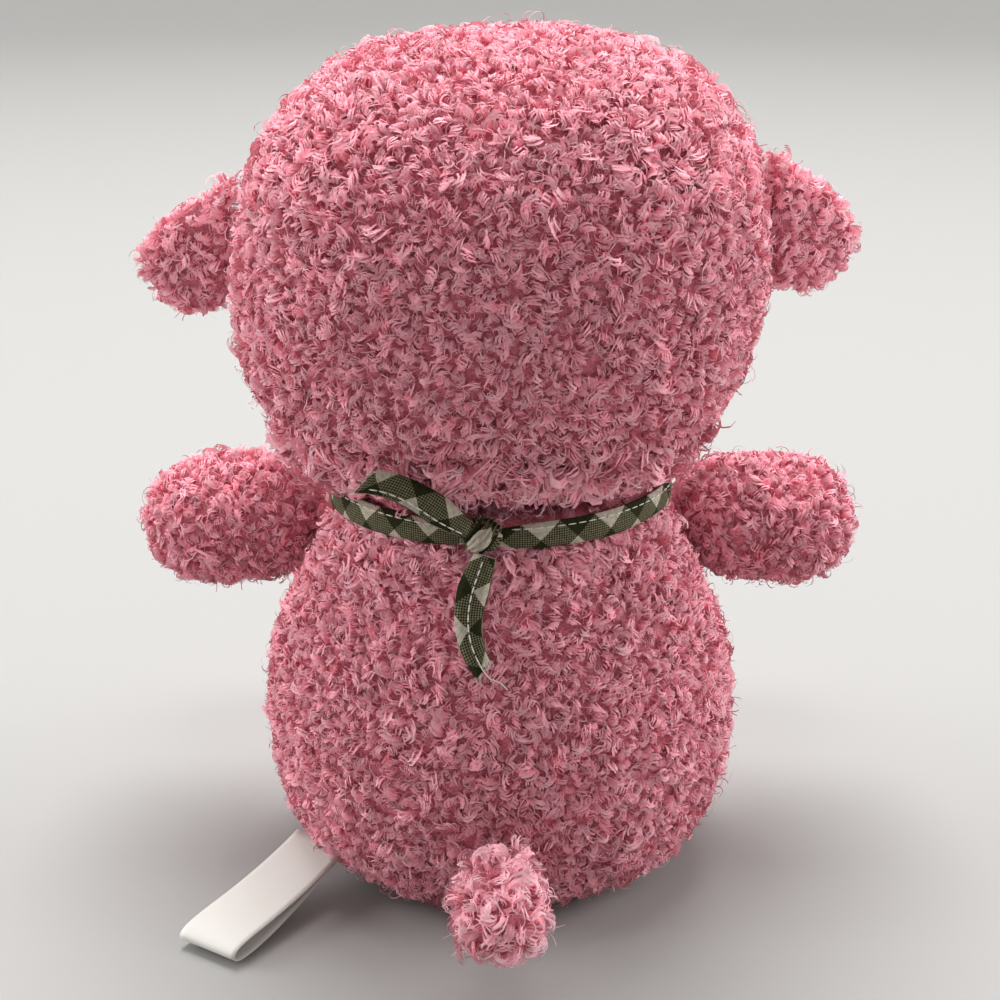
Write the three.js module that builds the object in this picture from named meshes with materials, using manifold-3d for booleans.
// Seated plush lamb with a gingham ribbon tied round its neck.
// Millimetres, +Z up, face towards -Y, the lamb's left side at +X, origin in the middle of the seat.
import * as THREE from 'three';
import { mergeVertices } from 'three/addons/utils/BufferGeometryUtils.js';
import Module from 'manifold-3d';

// Cloth and fit
const SEAM_GAP = 0.3;
const FLEECE = 6;
const FACE_CLOTH = 4;
const EAR_BACK = 6.4;
const EAR_LINING = 3.2;

// Body
const SEAT_RADIUS = 40;
const SEAT_SEAM = 5;
const BELLY_WIDTH = 123;
const BELLY_DEPTH = 112;
const BELLY_HEIGHT = 44;
const BELLY_RISE = 30;
const BELLY_TUCK = 0.4;
const NECK_WIDTH = 76;
const NECK_HEIGHT = 106;
const NECK_RISE = 16;

// Head
const HEAD_WIDTH = 129;
const HEAD_DEPTH = 112;
const HEAD_HEIGHT = 113;
const HEAD_SINK = 8;
const HEAD_SQUARENESS = 2.4;
const HEAD_LEAN = 3;
const HEAD_TAPER = 0.04;
const NECK_OPENING = 54;

// Face
const FACE_WIDTH = 64;
const FACE_HEIGHT = 68;
const FACE_DROP = 8;
const MUZZLE_WIDTH = 42;
const MUZZLE_DEPTH = 26;
const MUZZLE_HEIGHT = 32;
const MUZZLE_DROP = 21;
const MUZZLE_REACH = 8;
const EYE_RADIUS = 4.5;
const EYE_DOME = 3.6;
const EYE_SPACING = 38;
const EYE_DROP = 1;
const SHANK_RADIUS = 1.6;
const SHANK_LENGTH = 11;
const WASHER_RADIUS = 6;
const WASHER_THICKNESS = 1.5;
const NOSE_WIDTH = 13;
const NOSE_HEIGHT = 8;
const NOSE_PROUD = 1.6;
const NOSE_WEDGE = 0.25;
const MOUTH_THREAD = 1.4;
const MOUTH_WIDTH = 15;
const MOUTH_DROP = 6;

// Ears
const EAR_HEIGHT = 35;
const EAR_LENGTH = 25;
const EAR_FORWARD = 6;
const EAR_TIP = 6;
const EAR_EDGE = 2.6;
const EAR_SLOPE = 0.55;
const EAR_LEFT_RAISE = 2;
const EAR_RIGHT_RAISE = 9;
const EAR_LEFT_DROOP = 3;
const EAR_RIGHT_DROOP = 6;
const EAR_LEFT_SWING = 4;
const EAR_RIGHT_SWING = 24;

// Arms, legs and tail, each with a ball root that lies in a hollow of the body
const HOLLOW_DEPTH = 4;
const STUFFING_HOLE = 6;
const TIP_ROUNDNESS = 0.7;
const ARM_ROOT = 18;
const ARM_RADIUS = 19.5;
const ARM_LENGTH = 37;
const ARM_HEIGHT = 82;
const ARM_AROUND = 24;
const ARM_FORWARD = 14;
const ARM_DROOP = 8;
const ARM_FULLEST = 0.45;
const LEG_ROOT = 15;
const LEG_RADIUS = 18.5;
const LEG_LENGTH = 40;
const LEG_SPLAY = 14;
const LEG_AROUND = 30;
const LEG_FULLEST = 0.55;
const FOOT_FLAT = 0.5;
const TAIL_ROOT = 11.5;
const TAIL_RADIUS = 13.5;
const TAIL_LENGTH = 24;
const TAIL_HEIGHT = 24;
const TAIL_DROOP = 16;
const TAIL_FULLEST = 0.4;

// Ribbon
const RIBBON_WIDTH = 7;
const RIBBON_CLOTH = 1.4;
const RIBBON_DROP = 2.2;
const KNOT_WIDTH = 11;
const KNOT_HEIGHT = 10.4;
const KNOT_CORE = 9;
const KNOT_PROUD = 8;
const KNOT_ASIDE = 4;
const KNOT_TURN = 0.27;
const KNOT_TILT = 17;
const UPPER_END_LENGTH = 24;
const UPPER_END_RISE = 11;
const LOWER_END_LENGTH = 28;
const LOWER_END_SWAY = 3.5;

// Label
const LABEL_WIDTH = 17;
const LABEL_LENGTH = 44;
const LABEL_CLOTH = 0.6;
const LABEL_LOOP = 5;
const LABEL_AROUND = 64;
const LABEL_TURN = 30;
const LABEL_LIMPNESS = 1.5;

// Colours and roughness
const PINK = '#d98796';
const BLUSH = '#f0cfc9';
const FIBRE = '#f4f1ea';
const CREAM = '#e9e6d6';
const GREEN = '#8f9a6c';
const ROSE = '#a8606a';
const EYE_BLACK = '#17110f';
const WASHER_WHITE = '#e8e6e0';
const CLOTH_ROUGHNESS = 0.95;
const THREAD_ROUGHNESS = 0.7;
const WASHER_ROUGHNESS = 0.6;
const SATIN_ROUGHNESS = 0.5;
const EYE_ROUGHNESS = 0.15;

const degrees = THREE.MathUtils.degToRad;
const wasm = await Module();
wasm.setup();

// A closed geometry becomes a solid that can be joined and cut.
function solid(geometry) {
  const bare = geometry.clone();
  bare.deleteAttribute('normal');
  bare.deleteAttribute('uv');
  const merged = mergeVertices(bare, 1e-4);
  const corners = merged.index.array;
  const triangles = [];
  for (let i = 0; i < corners.length; i += 3) {
    const [a, b, c] = corners.slice(i, i + 3);
    if (a !== b && b !== c && c !== a) triangles.push(a, b, c);
  }
  const vertProperties = Float32Array.from(merged.attributes.position.array);
  const triVerts = Uint32Array.from(triangles);
  return new wasm.Manifold(new wasm.Mesh({ numProp: 3, vertProperties, triVerts }));
}

// A solid goes back to a geometry for its mesh.
function surface(cut) {
  const { vertProperties, triVerts } = cut.getMesh();
  const geometry = new THREE.BufferGeometry();
  geometry.setAttribute('position', new THREE.BufferAttribute(vertProperties, 3));
  geometry.setIndex(new THREE.BufferAttribute(triVerts, 1));
  geometry.computeVertexNormals();
  return geometry;
}

function piece(name, shape, colour, roughness = CLOTH_ROUGHNESS) {
  const material = new THREE.MeshStandardMaterial({ color: colour, roughness, metalness: 0 });
  const mesh = new THREE.Mesh(surface(shape), material);
  mesh.name = name;
  return mesh;
}

// Each vertex of a geometry is moved by a formula.
function reshape(geometry, place) {
  const positions = geometry.attributes.position;
  const vertex = new THREE.Vector3();
  for (let i = 0; i < positions.count; i += 1) {
    const moved = place(vertex.fromBufferAttribute(positions, i));
    positions.setXYZ(i, moved.x, moved.y, moved.z);
  }
  return geometry;
}

function block(width, depth, height, x, y, z) {
  return solid(new THREE.BoxGeometry(width, depth, height).translate(x, y, z));
}

// Body: a pear turned about Z, then flattened front to back
const BODY_RATIO = BELLY_DEPTH / BELLY_WIDTH;

function bodyOutline(inset, floor, top) {
  const seat = SEAT_RADIUS - inset;
  const belly = BELLY_WIDTH / 2 - inset;
  const neck = NECK_WIDTH / 2 - inset;
  const low = floor + (BELLY_HEIGHT - floor) * BELLY_TUCK;
  const outline = new THREE.Path();
  outline.moveTo(0, floor);
  outline.lineTo(seat, floor);
  outline.bezierCurveTo((seat + belly) / 2, floor, belly, low, belly, BELLY_HEIGHT);
  outline.bezierCurveTo(belly, BELLY_HEIGHT + BELLY_RISE, neck, NECK_HEIGHT - NECK_RISE, neck, NECK_HEIGHT);
  outline.lineTo(neck, top);
  outline.lineTo(0, top);
  return outline.getPoints(7);
}

function bodyForm(inset, floor, top, sides) {
  const form = new THREE.LatheGeometry(bodyOutline(inset, floor, top), sides);
  return solid(form.rotateX(Math.PI / 2).scale(1, BODY_RATIO, 1));
}

// The space that pieces lying on the body keep clear of
function bodyRoom() {
  return bodyForm(-SEAM_GAP, 0, NECK_HEIGHT + SEAM_GAP, 48);
}

const bodyEdge = bodyOutline(0, 0, NECK_HEIGHT).filter((point) => point.x > 0);

function bodyRadius(height) {
  const level = THREE.MathUtils.clamp(height, 0, NECK_HEIGHT);
  const above = Math.max(bodyEdge.findIndex((point) => point.y >= level), 1);
  const upper = bodyEdge[above];
  const lower = bodyEdge[above - 1];
  return lower.x + (upper.x - lower.x) * (level - lower.y) / (upper.y - lower.y);
}

// Point on the body at a turn about Z from the back, a height and a distance off the surface
function onBody(around, height, off) {
  const radius = bodyRadius(height);
  const slope = (bodyRadius(height + 1) - bodyRadius(height - 1)) / 2;
  const x = Math.sin(around) * radius;
  const y = Math.cos(around) * radius * BODY_RATIO;
  const out = new THREE.Vector3(x, y / BODY_RATIO ** 2, -radius * slope).normalize();
  return new THREE.Vector3(x, y, height).addScaledVector(out, off);
}

// Head: a squarish ball pressed flat where it meets the neck
const INNER_SIDES = 22;
const INNER_RINGS = 12;
const HEAD_CENTRE = NECK_HEIGHT + SEAM_GAP + HEAD_HEIGHT / 2 - HEAD_SINK;

function headForm(inset, sides, rings) {
  const half = new THREE.Vector3(HEAD_WIDTH, HEAD_DEPTH, HEAD_HEIGHT).divideScalar(2).addScalar(-inset);
  const ball = new THREE.SphereGeometry(1, sides, rings).rotateX(Math.PI / 2);
  const swell = (v) => {
    const sum = Math.abs(v.x / half.x) ** HEAD_SQUARENESS + Math.abs(v.y / half.y) ** HEAD_SQUARENESS
      + Math.abs(v.z / half.z) ** HEAD_SQUARENESS;
    v.multiplyScalar(sum ** (-1 / HEAD_SQUARENESS));
    return v.setX(v.x * headCheeks(HEAD_CENTRE + v.z) + headLean(HEAD_CENTRE + v.z));
  };
  return solid(reshape(ball, swell).translate(0, 0, HEAD_CENTRE));
}

// The head is stuffed a little to one side, so its crown leans to the right, and is fuller at the cheeks.
function headLean(height) {
  return -HEAD_LEAN * 2 * (height - HEAD_CENTRE) / HEAD_HEIGHT;
}

function headCheeks(height) {
  return 1 - HEAD_TAPER * 2 * (height - HEAD_CENTRE) / HEAD_HEIGHT;
}

// Half-width of the head at a height, and its front or back at a place across it
function headHalfWidth(height) {
  const up = Math.abs(2 * (height - HEAD_CENTRE) / HEAD_HEIGHT) ** HEAD_SQUARENESS;
  return HEAD_WIDTH / 2 * headCheeks(height) * (1 - up) ** (1 / HEAD_SQUARENESS);
}

function headSide(side, height) {
  return side * headHalfWidth(height) + headLean(height);
}

function headHalfDepth(x, height, inset) {
  const across = Math.abs(x / (HEAD_WIDTH / 2 - inset)) ** HEAD_SQUARENESS;
  const up = Math.abs((height - HEAD_CENTRE) / (HEAD_HEIGHT / 2 - inset)) ** HEAD_SQUARENESS;
  return (HEAD_DEPTH / 2 - inset) * (1 - across - up) ** (1 / HEAD_SQUARENESS);
}

const belowNeck = block(HEAD_WIDTH * 2, HEAD_DEPTH * 2, NECK_HEIGHT, 0, 0, NECK_HEIGHT / 2 + SEAM_GAP);

function neckPlug(radius) {
  const plug = new THREE.CylinderGeometry(radius, radius, HEAD_HEIGHT / 2, 24).rotateX(Math.PI / 2);
  return solid(plug.translate(0, 0, NECK_HEIGHT + HEAD_HEIGHT / 4 - HEAD_SINK));
}

// Face: a short-pile panel let into the front of the head, with its muzzle
const FACE_CENTRE = HEAD_CENTRE - FACE_DROP;

function faceOval(clearance) {
  const oval = new THREE.Shape();
  oval.absellipse(0, 0, FACE_WIDTH / 2 + clearance, FACE_HEIGHT / 2 + clearance, 0, Math.PI * 2);
  const cut = { depth: HEAD_DEPTH, bevelEnabled: false, curveSegments: 20 };
  const prism = new THREE.ExtrudeGeometry(oval, cut);
  return solid(prism.rotateX(Math.PI / 2).translate(0, -HEAD_DEPTH / 8, FACE_CENTRE));
}

const muzzle = new THREE.Vector3(0, 0, HEAD_CENTRE - MUZZLE_DROP);
muzzle.y = MUZZLE_DEPTH / 2 - MUZZLE_REACH - headHalfDepth(0, muzzle.z, FLEECE - FACE_CLOTH);

function muzzleForm(grown) {
  const ball = new THREE.SphereGeometry(1, 24, 14);
  ball.scale(MUZZLE_WIDTH / 2 + grown, MUZZLE_DEPTH / 2 + grown, MUZZLE_HEIGHT / 2 + grown);
  return solid(ball.translate(muzzle.x, muzzle.y, muzzle.z));
}

function onMuzzle(x, height, off) {
  const across = (x / (MUZZLE_WIDTH / 2)) ** 2;
  const up = ((height - muzzle.z) / (MUZZLE_HEIGHT / 2)) ** 2;
  const y = muzzle.y - MUZZLE_DEPTH / 2 * Math.sqrt(1 - across - up);
  const normal = new THREE.Vector3(x / MUZZLE_WIDTH ** 2, (y - muzzle.y) / MUZZLE_DEPTH ** 2,
    (height - muzzle.z) / MUZZLE_HEIGHT ** 2).normalize();
  return new THREE.Vector3(x, y, height).addScaledVector(normal, off);
}

// Each eye stands square on the face cloth: its shank goes in along its own +Y, through a washer.
const EYE_HEIGHT = HEAD_CENTRE - EYE_DROP;
const eyeDepth = (x) => headHalfDepth(x, EYE_HEIGHT, FLEECE - FACE_CLOTH);
const EYE_TURN = Math.atan(eyeDepth(EYE_SPACING / 2 - 0.5) - eyeDepth(EYE_SPACING / 2 + 0.5));
const INNER_FACET = HEAD_WIDTH / 2 * (1 - Math.cos(Math.PI / INNER_SIDES));

// How far behind an eye's seat the back of the face cloth lies, at a place across and up from the shank
function clothBack(across, up) {
  const x = EYE_SPACING / 2 + across * Math.cos(EYE_TURN);
  const away = eyeDepth(EYE_SPACING / 2) - headHalfDepth(x, EYE_HEIGHT + up, FLEECE);
  return (away - across * Math.sin(EYE_TURN)) * Math.cos(EYE_TURN);
}

const reaches = [-WASHER_RADIUS, WASHER_RADIUS];
const washerRim = reaches.flatMap((reach) => [clothBack(reach, 0), clothBack(0, reach)]);
const WASHER_FRONT = Math.max(...washerRim) + INNER_FACET + SEAM_GAP;

function seatEye(geometry, side) {
  const x = EYE_SPACING / 2;
  return solid(geometry.rotateZ(side * EYE_TURN).translate(side * x, -eyeDepth(x) - SEAM_GAP, EYE_HEIGHT));
}

function rod(radius, from, to, side) {
  const bar = new THREE.CylinderGeometry(radius, radius, to - from, 14);
  return seatEye(bar.translate(0, (from + to) / 2, 0), side);
}

function eye(side) {
  const outline = new THREE.Path();
  outline.moveTo(0, SHANK_LENGTH);
  outline.lineTo(SHANK_RADIUS, SHANK_LENGTH);
  outline.lineTo(SHANK_RADIUS, 0);
  outline.lineTo(EYE_RADIUS, 0);
  outline.absellipse(0, 0, EYE_RADIUS, EYE_DOME, 0, -Math.PI / 2, true);
  return seatEye(new THREE.LatheGeometry(outline.getPoints(3).reverse(), 14), side);
}

function washer(side) {
  const disc = rod(WASHER_RADIUS, WASHER_FRONT, WASHER_FRONT + WASHER_THICKNESS, side);
  return disc.subtract(shankHole(side));
}

function shankHole(side) {
  return rod(SHANK_RADIUS + SEAM_GAP, -2 * SEAM_GAP, SHANK_LENGTH + SEAM_GAP, side);
}

// Room in the stuffing for a shank and its washer
function eyePocket(side) {
  const back = WASHER_FRONT + WASHER_THICKNESS + SEAM_GAP;
  return rod(WASHER_RADIUS + SEAM_GAP, 0, back, side).add(shankHole(side));
}

function thread(points) {
  const ring = new THREE.Shape();
  ring.absarc(0, 0, MOUTH_THREAD / 2, 0, Math.PI * 2);
  const extrudePath = new THREE.CatmullRomCurve3(points);
  return solid(new THREE.ExtrudeGeometry(ring, { steps: 10, curveSegments: 3, extrudePath }));
}

function mouth() {
  const off = MOUTH_THREAD / 2 + SEAM_GAP;
  const top = muzzle.z + MUZZLE_HEIGHT / 8 - NOSE_HEIGHT / 2 - MOUTH_THREAD;
  const low = top - MOUTH_DROP;
  const line = thread([top, (top + low) / 2, low].map((height) => onMuzzle(0, height, off)));
  const smile = [-1, -0.5, 0, 0.5, 1].map((share) =>
    onMuzzle(share * MOUTH_WIDTH / 2, low + MOUTH_DROP / 3 * share ** 2, off));
  return line.add(thread(smile));
}

function nose() {
  const spot = onMuzzle(0, muzzle.z + MUZZLE_HEIGHT / 8, 0);
  const ball = new THREE.SphereGeometry(1, 18, 12).scale(NOSE_WIDTH / 2, NOSE_PROUD, NOSE_HEIGHT / 2);
  const wedge = (v) => v.setX(v.x * (1 - NOSE_WEDGE + 2 * NOSE_WEDGE * v.z / NOSE_HEIGHT));
  return solid(reshape(ball, wedge).translate(spot.x, spot.y, spot.z)).subtract(muzzleForm(SEAM_GAP));
}

// Ears: two layers sewn round the edge, standing out from the side of the head
const EAR_THICKNESS = EAR_BACK + SEAM_GAP + EAR_LINING;
const EAR_ROOT_STEPS = 8;

function earLayer(side, raise, droop, thickness, from) {
  const half = EAR_HEIGHT / 2 - EAR_EDGE;
  const tip = EAR_LENGTH - 2 * EAR_EDGE;
  const leaf = new THREE.Shape();
  leaf.moveTo(0, -half);
  leaf.bezierCurveTo(side * tip / 2, -half - droop, side * tip, -EAR_TIP - droop, side * tip, -droop);
  leaf.bezierCurveTo(side * tip, EAR_TIP - droop, side * tip / 2, half * EAR_SLOPE, 0, half);
  for (let step = 1; step < EAR_ROOT_STEPS; step += 1) {
    leaf.lineTo(0, half - step * 2 * half / EAR_ROOT_STEPS);
  }
  const edge = thickness / 2 - SEAM_GAP;
  const pad = { depth: 2 * SEAM_GAP, bevelThickness: edge, bevelSize: EAR_EDGE, bevelSegments: 3 };
  const layer = new THREE.ExtrudeGeometry(leaf, { ...pad, curveSegments: 7 });
  layer.translate(side * EAR_EDGE, 0, from + edge).rotateX(Math.PI / 2);
  const height = HEAD_CENTRE + raise;
  const middle = from + thickness / 2;
  const round = EAR_THICKNESS / 2 - Math.sqrt(EAR_THICKNESS ** 2 / 4 - middle ** 2);
  const hug = (v) => {
    const away = headSide(side, height + v.z) - headSide(side, height) + side * round;
    return v.setX(v.x + away * (1 - Math.abs(v.x) / EAR_LENGTH));
  };
  return solid(reshape(layer, hug).translate(-side * EAR_THICKNESS / 2, 0, 0));
}

// An ear swings about the middle of its rounded root.
function ear(name, side, raise, droop, swing) {
  const group = new THREE.Group();
  const height = HEAD_CENTRE + raise;
  const root = headSide(side, height) + side * (SEAM_GAP + EAR_THICKNESS / 2);
  group.position.set(root, -EAR_FORWARD, height);
  group.rotation.z = -side * degrees(swing);
  const back = earLayer(side, raise, droop, EAR_BACK, -EAR_THICKNESS / 2);
  const lining = earLayer(side, raise, droop, EAR_LINING, EAR_THICKNESS / 2 - EAR_LINING);
  group.add(piece(`${name}_back`, back, PINK));
  group.add(piece(`${name}_lining`, lining, BLUSH));
  return group;
}

// Limb: a ball root at the origin, then a swelling form along +Y with a round tip
function limbForm(spec, inset, sides) {
  const ball = spec.root - inset;
  const full = spec.radius - inset;
  const tip = spec.length - inset;
  const outline = new THREE.Path();
  outline.moveTo(0, -ball);
  outline.absarc(0, 0, ball, -Math.PI / 2, 0);
  outline.bezierCurveTo(ball, tip / 6, full, tip / 4, full, tip * spec.fullest);
  outline.bezierCurveTo(full, tip * (1 + spec.fullest) / 2, full * TIP_ROUNDNESS, tip, 0, tip);
  return solid(new THREE.LatheGeometry(outline.getPoints(4), sides));
}

// Middle of a ball root: off the body along its surface normal, at a wanted height
function limbSeat(spec) {
  const off = spec.root - HOLLOW_DEPTH;
  let contact = spec.height;
  for (let pass = 0; pass < 12; pass += 1) {
    contact += spec.height - onBody(spec.around, contact, off).z;
  }
  return onBody(spec.around, contact, off);
}

function hollow(spec) {
  const ball = new THREE.SphereGeometry(spec.root + SEAM_GAP, 26, 16);
  const seat = limbSeat(spec);
  return solid(ball.translate(seat.x, seat.y, seat.z));
}

// A limb's cover is open at its root, where its stuffing goes in, and flat where it lies on the ground.
function limb(name, spec) {
  const group = new THREE.Group();
  group.position.copy(limbSeat(spec));
  group.rotation.set(-spec.droop, 0, spec.heading, 'ZXY');
  const hole = new THREE.CylinderGeometry(STUFFING_HOLE, STUFFING_HOLE, spec.root * 2, 14);
  const cover = limbForm(spec, 0, 16).subtract(limbForm(spec, FLEECE, 10));
  const open = cover.subtract(solid(hole.translate(0, -spec.root, 0)));
  const ground = block(spec.length * 4, spec.length * 4, spec.root, 0, 0, -spec.height - spec.root / 2);
  const stuffing = limbForm(spec, FLEECE + SEAM_GAP, 10);
  group.add(piece(`${name}_cover`, spec.droop === 0 ? open.subtract(ground) : open, PINK));
  group.add(piece(`${name}_stuffing`, stuffing, FIBRE));
  return group;
}

const arm = (side) => ({
  root: ARM_ROOT,
  radius: ARM_RADIUS,
  length: ARM_LENGTH,
  fullest: ARM_FULLEST,
  height: ARM_HEIGHT,
  around: side * degrees(90 + ARM_AROUND),
  heading: -side * degrees(90 + ARM_FORWARD),
  droop: degrees(ARM_DROOP),
});
const leg = (side) => ({
  root: LEG_ROOT,
  radius: LEG_RADIUS,
  length: LEG_LENGTH,
  fullest: LEG_FULLEST,
  height: LEG_RADIUS - FOOT_FLAT,
  around: side * degrees(180 - LEG_AROUND),
  heading: -side * degrees(180 - LEG_SPLAY),
  droop: 0,
});
const tail = {
  root: TAIL_ROOT,
  radius: TAIL_RADIUS,
  length: TAIL_LENGTH,
  fullest: TAIL_FULLEST,
  height: TAIL_HEIGHT,
  around: 0,
  heading: 0,
  droop: degrees(TAIL_DROOP),
};
const limbs = { arm_left: arm(1), arm_right: arm(-1), leg_left: leg(1), leg_right: leg(-1), tail };

// Ribbon: a flat band on the neck, tied at the back, with two loose ends
const RIBBON_TOP = NECK_HEIGHT - RIBBON_DROP;
const KNOT_CENTRE = RIBBON_TOP - RIBBON_WIDTH / 2;
const KNOT_AROUND = Math.asin(KNOT_ASIDE / bodyRadius(KNOT_CENTRE));

function ribbonBand() {
  const heights = [RIBBON_TOP - RIBBON_WIDTH, KNOT_CENTRE, RIBBON_TOP];
  const outer = heights.map((z) => new THREE.Vector2(bodyRadius(z) + SEAM_GAP + RIBBON_CLOTH, z));
  const inner = heights.map((z) => new THREE.Vector2(bodyRadius(z) + SEAM_GAP, z)).reverse();
  const ring = new THREE.LatheGeometry([...outer, ...inner, outer[0]], 40);
  return solid(ring.rotateX(Math.PI / 2).scale(1, BODY_RATIO, 1)).subtract(knotForm(SEAM_GAP));
}

// The knot is a folded core with one turn of ribbon over it.
function knotForm(grown) {
  const middle = onBody(KNOT_AROUND, KNOT_CENTRE, KNOT_PROUD / 2);
  const core = new THREE.SphereGeometry(1, 18, 12);
  core.scale(KNOT_WIDTH / 2 + grown, KNOT_PROUD / 2 + RIBBON_CLOTH + grown, KNOT_CORE / 2 + grown);
  const turn = new THREE.TorusGeometry(1 - KNOT_TURN, KNOT_TURN, 8, 18);
  turn.rotateY(degrees(90 - KNOT_TILT));
  turn.scale(KNOT_WIDTH / 2 + grown, KNOT_PROUD / 2 + RIBBON_CLOTH + grown, KNOT_HEIGHT / 2 + grown);
  const [folds, wrap] = [core, turn].map((form) => solid(form.translate(middle.x, middle.y, middle.z)));
  return folds.add(wrap);
}

function knot() {
  return knotForm(0).subtract(bodyRoom());
}

// A strip of ribbon along a curve, its face turned away from the lamb
function strip(points) {
  const curve = new THREE.CatmullRomCurve3(points);
  const length = curve.getLength();
  const flat = new THREE.BoxGeometry(RIBBON_WIDTH, RIBBON_CLOTH, length, 2, 1, 12);
  const follow = (v) => {
    const share = THREE.MathUtils.clamp(v.z / length + 0.5, 0, 1);
    const point = curve.getPointAt(share);
    const along = curve.getTangentAt(share);
    const out = new THREE.Vector3(point.x, point.y, 0);
    out.addScaledVector(along, -out.dot(along)).normalize();
    const across = new THREE.Vector3().crossVectors(out, along);
    return point.addScaledVector(across, v.x).addScaledVector(out, v.y);
  };
  return solid(reshape(flat, follow));
}

// The upper end lies along the underside of the head, clear of it as the head turns.
function upperEnd() {
  const start = bodyRadius(KNOT_CENTRE) + KNOT_PROUD / 2;
  const first = KNOT_AROUND + KNOT_WIDTH / 3 / start;
  const points = [0, 0.35, 0.7, 1].map((share) => {
    const height = KNOT_CENTRE + KNOT_HEIGHT / 5 + share * UPPER_END_RISE;
    const top = height + RIBBON_WIDTH / 2;
    const turning = headHalfWidth(top) + Math.abs(headLean(top)) + RIBBON_CLOTH + SEAM_GAP;
    const radius = top > NECK_HEIGHT ? Math.max(start, turning) : start;
    const around = first + share * UPPER_END_LENGTH / radius;
    return new THREE.Vector3(Math.sin(around) * radius, Math.cos(around) * radius, height);
  });
  return strip(points).subtract(knotForm(SEAM_GAP));
}

function lowerEnd() {
  const top = KNOT_CENTRE - KNOT_HEIGHT / 3;
  const points = [0, 0.35, 0.7, 1].map((share) => {
    const height = top - share * LOWER_END_LENGTH;
    const aside = Math.asin((KNOT_ASIDE + LOWER_END_SWAY * Math.sin(share * Math.PI)) / bodyRadius(height));
    const lift = THREE.MathUtils.lerp(KNOT_PROUD / 2, RIBBON_CLOTH / 2 + 2 * SEAM_GAP, Math.sqrt(share));
    return onBody(aside, height, lift);
  });
  return strip(points).subtract(knotForm(SEAM_GAP)).subtract(bodyRoom());
}

// Label: a satin strip folded to a loop, its root against the seat seam, sagging to the ground
function label() {
  const half = LABEL_CLOTH;
  const fold = LABEL_LENGTH - LABEL_CLOTH;
  const loop = new THREE.Shape();
  loop.moveTo(0, -half);
  loop.bezierCurveTo(LABEL_LENGTH / 2, -half, LABEL_LENGTH, -LABEL_LOOP, LABEL_LENGTH, 0);
  loop.bezierCurveTo(LABEL_LENGTH, LABEL_LOOP, LABEL_LENGTH / 2, half, 0, half);
  const inside = new THREE.Path();
  inside.moveTo(LABEL_LENGTH / 3, 0);
  inside.bezierCurveTo(LABEL_LENGTH / 2, -half / 2, fold, -LABEL_LOOP + LABEL_CLOTH, fold, 0);
  inside.bezierCurveTo(fold, LABEL_LOOP - LABEL_CLOTH, LABEL_LENGTH / 2, half / 2, LABEL_LENGTH / 3, 0);
  loop.holes.push(inside);
  const weave = { depth: LABEL_WIDTH, steps: 6, bevelEnabled: false, curveSegments: 8 };
  const strap = new THREE.ExtrudeGeometry(loop, weave);
  strap.translate(0, 0, -LABEL_WIDTH / 2).rotateX(Math.PI / 2);
  const seat = onBody(degrees(LABEL_AROUND), SEAT_SEAM, 0);
  const heading = degrees(90 - LABEL_AROUND + LABEL_TURN);
  const drop = SEAT_SEAM - LABEL_LOOP / 2 - SEAM_GAP;
  const lay = (v) => {
    const start = rootReach(seat, heading, v.y, half);
    const sag = drop * (v.x / LABEL_LENGTH) ** LABEL_LIMPNESS;
    return v.set(start + v.x * (1 - start / LABEL_LENGTH), v.y, v.z - sag);
  };
  return solid(reshape(strap, lay).rotateZ(heading).translate(seat.x, seat.y, SEAT_SEAM));
}

// How far along its heading the label meets the body, at a place across its width
function rootReach(seat, heading, across, half) {
  const width = bodyRadius(SEAT_SEAM + half) + 2 * SEAM_GAP;
  const depth = width * BODY_RATIO;
  const from = new THREE.Vector2(0, across).rotateAround(new THREE.Vector2(), heading).add(seat);
  const [u, v] = [Math.cos(heading) / width, Math.sin(heading) / depth];
  const [p, q] = [from.x / width, from.y / depth];
  const square = u * u + v * v;
  const slant = u * p + v * q;
  return (-slant + Math.sqrt(slant * slant - square * (p * p + q * q - 1))) / square;
}

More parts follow.
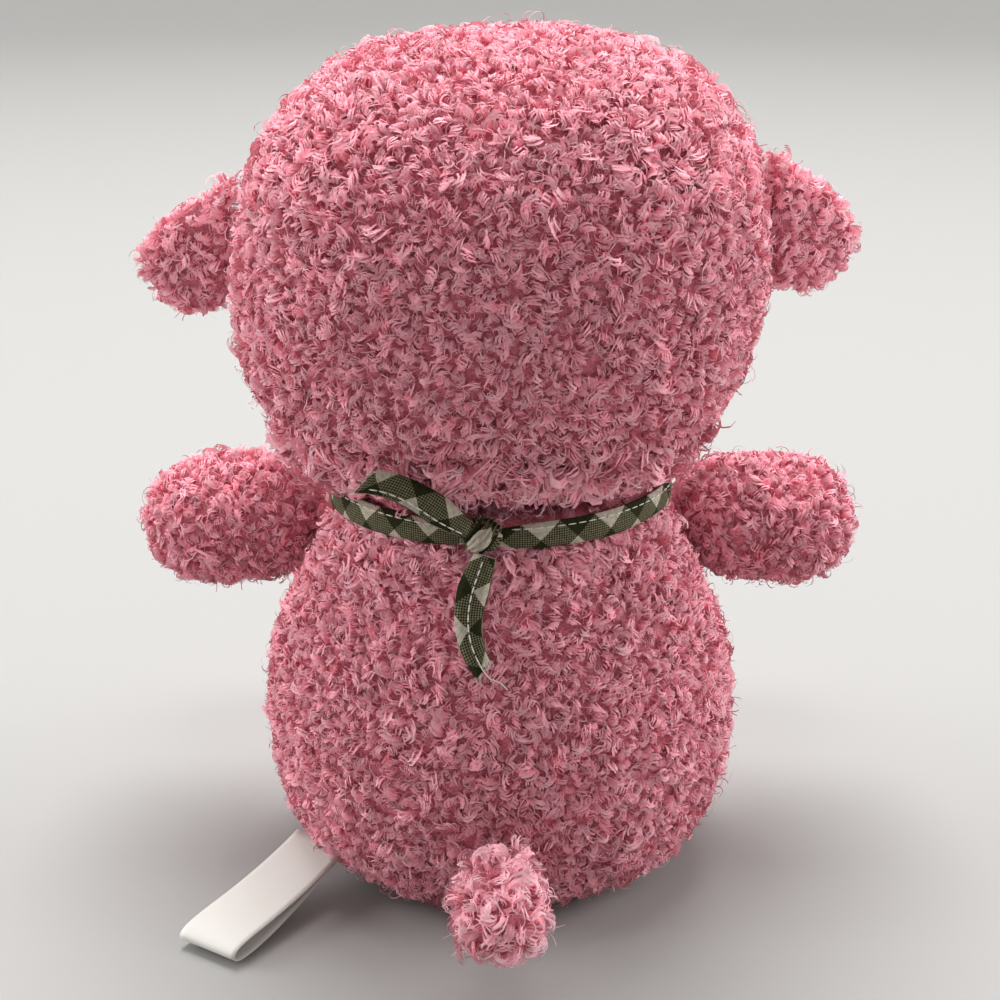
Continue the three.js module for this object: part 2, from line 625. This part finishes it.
// Covers and stuffing of the body and head
const seatBelow = block(BELLY_WIDTH * 2, BELLY_DEPTH * 2, SEAT_SEAM * 2, 0, 0, 0);
const seatAbove = block(BELLY_WIDTH * 2, BELLY_DEPTH * 2, SEAT_SEAM * 2 + 2 * SEAM_GAP, 0, 0, 0);
const bodyOuter = bodyForm(0, 0, NECK_HEIGHT, 34);
const bodyInner = bodyForm(FLEECE, SEAT_SEAM, NECK_HEIGHT + FLEECE, 22);
const bodyCover = Object.values(limbs).reduce(
  (cover, spec) => cover.subtract(hollow(spec)),
  bodyOuter.subtract(bodyInner).subtract(seatAbove),
);
const bodyStuffing = bodyForm(FLEECE + SEAM_GAP, SEAT_SEAM + SEAM_GAP, NECK_HEIGHT, 22);
const headCover = headForm(0, 34, 20).subtract(headForm(FLEECE, INNER_SIDES, INNER_RINGS)).subtract(belowNeck)
  .subtract(neckPlug(NECK_OPENING / 2)).subtract(faceOval(SEAM_GAP));
const headStuffing = headForm(FLEECE + SEAM_GAP, INNER_SIDES, INNER_RINGS)
  .add(neckPlug(NECK_OPENING / 2 - SEAM_GAP)).subtract(belowNeck)
  .subtract(eyePocket(1)).subtract(eyePocket(-1));
const facePanel = headForm(FLEECE - FACE_CLOTH, 30, 18).add(muzzleForm(0)).intersect(faceOval(0))
  .subtract(headForm(FLEECE, INNER_SIDES, INNER_RINGS)).subtract(shankHole(1)).subtract(shankHole(-1));

const lamb = new THREE.Group();
lamb.add(piece('seat_panel', bodyOuter.intersect(seatBelow), PINK));
lamb.add(piece('body_cover', bodyCover, PINK));
lamb.add(piece('body_stuffing', bodyStuffing, FIBRE));
for (const [name, spec] of Object.entries(limbs)) lamb.add(limb(name, spec));
lamb.add(piece('label_loop', label(), CREAM, SATIN_ROUGHNESS));
lamb.add(piece('ribbon_band', ribbonBand(), GREEN));
lamb.add(piece('ribbon_knot', knot(), GREEN));
lamb.add(piece('ribbon_end_upper', upperEnd(), GREEN));
lamb.add(piece('ribbon_end_lower', lowerEnd(), GREEN));
lamb.add(piece('head_cover', headCover, PINK));
lamb.add(piece('head_stuffing', headStuffing, FIBRE));
lamb.add(piece('face_panel', facePanel, BLUSH));
for (const [name, side] of [['left', 1], ['right', -1]]) {
  lamb.add(piece(`eye_${name}`, eye(side), EYE_BLACK, EYE_ROUGHNESS));
  lamb.add(piece(`eye_washer_${name}`, washer(side), WASHER_WHITE, WASHER_ROUGHNESS));
}
lamb.add(piece('nose_embroidery', nose(), ROSE, THREAD_ROUGHNESS));
lamb.add(piece('mouth_embroidery', mouth(), ROSE, THREAD_ROUGHNESS));
lamb.add(ear('ear_left', 1, EAR_LEFT_RAISE, EAR_LEFT_DROOP, EAR_LEFT_SWING));
lamb.add(ear('ear_right', -1, EAR_RIGHT_RAISE, EAR_RIGHT_DROOP, EAR_RIGHT_SWING));

export default lamb;
